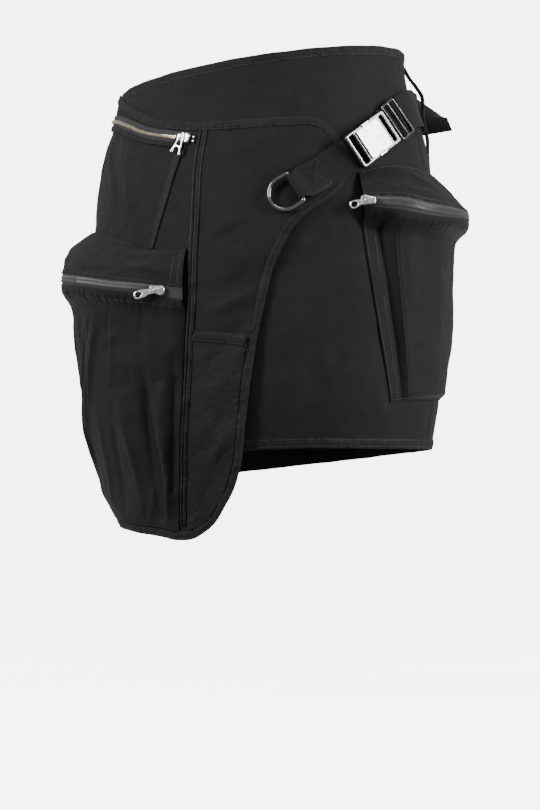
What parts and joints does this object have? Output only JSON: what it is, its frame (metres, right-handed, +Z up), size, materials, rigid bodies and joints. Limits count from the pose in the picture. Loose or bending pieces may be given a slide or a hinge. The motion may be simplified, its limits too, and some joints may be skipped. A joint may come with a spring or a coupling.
{
  "type": "mini skirt",
  "caption": "Worn wrap mini skirt of black cotton twill with slanted waist zip, two cargo pockets and a buckled side strap.",
  "frame": {"origin": "middle of the waist opening, where the wearer holds the skirt up", "axes": "+Z up, the wearer faces -Y, the wearer's left is +X"},
  "size_m": [0.4094, 0.3154, 0.4815],
  "materials": {
    "black_twill": "matte cotton twill",
    "ink_twill": "matte cotton twill, slightly blue",
    "black_webbing": "woven webbing",
    "brown_black_tape": "grosgrain tape",
    "charcoal_zip": "coil zip on tape",
    "silver_metal": "polished",
    "black_nickel": "polished black nickel",
    "pale_brass": "polished teeth"
  },
  "bodies": {
    "skirt": {"body_front": "black_twill", "body_back": "black_twill", "waist_binding": "black_twill", "body_hem": "black_twill", "wrap_panel": "black_twill", "wrap_top_binding": "black_twill", "wrap_edge_binding": "black_twill", "wrap_hem_band": "black_twill", "centre_welt": "black_twill", "wrap_patch": "ink_twill", "patch_hem": "ink_twill", "waist_zip_tape": "black_twill", "waist_zip_teeth": "pale_brass", "waist_zip_slider": "silver_metal", "waist_zip_pull": "silver_metal", "pull_tape": "brown_black_tape", "front_pocket_hood": "black_twill", "front_pocket_bag": "black_twill", "front_pocket_zip": "charcoal_zip", "front_pocket_slider": "silver_metal", "hip_pocket_hood": "black_twill", "hip_pocket_bag": "black_twill", "hip_pocket_zip": "charcoal_zip", "hip_pocket_slider": "silver_metal", "ring_webbing": "black_webbing", "buckle_frame": "black_nickel", "buckle_plate": "silver_metal", "strap_slide": "black_nickel", "side_webbing": "black_webbing", "strap_tail": "black_webbing", "belt_loop": "black_twill"},
    "front_pull": {"front_pocket_pull": "silver_metal"},
    "hip_pull": {"hip_pocket_pull": "silver_metal"},
    "strap_ring": {"d_ring": "black_nickel"}
  },
  "joints": [
    {"name": "front_pull_hinge", "type": "hinge", "parent": "skirt", "child": "front_pull", "pos_m": [-0.02229, -0.16313, -0.22182], "axis": [-0.2665, -0.0577, 0.9621], "range_deg": [0, 120]},
    {"name": "hip_pull_hinge", "type": "hinge", "parent": "skirt", "child": "hip_pull", "pos_m": [0.16615, -0.08418, -0.13794], "axis": [-0.3346, -0.0521, 0.9409], "range_deg": [0, 120]},
    {"name": "strap_ring_hinge", "type": "hinge", "parent": "skirt", "child": "strap_ring", "pos_m": [0.10654, -0.11855, -0.12565], "axis": [-0.5365, -0.094, 0.8386], "range_deg": [0, 90]}
  ]
}
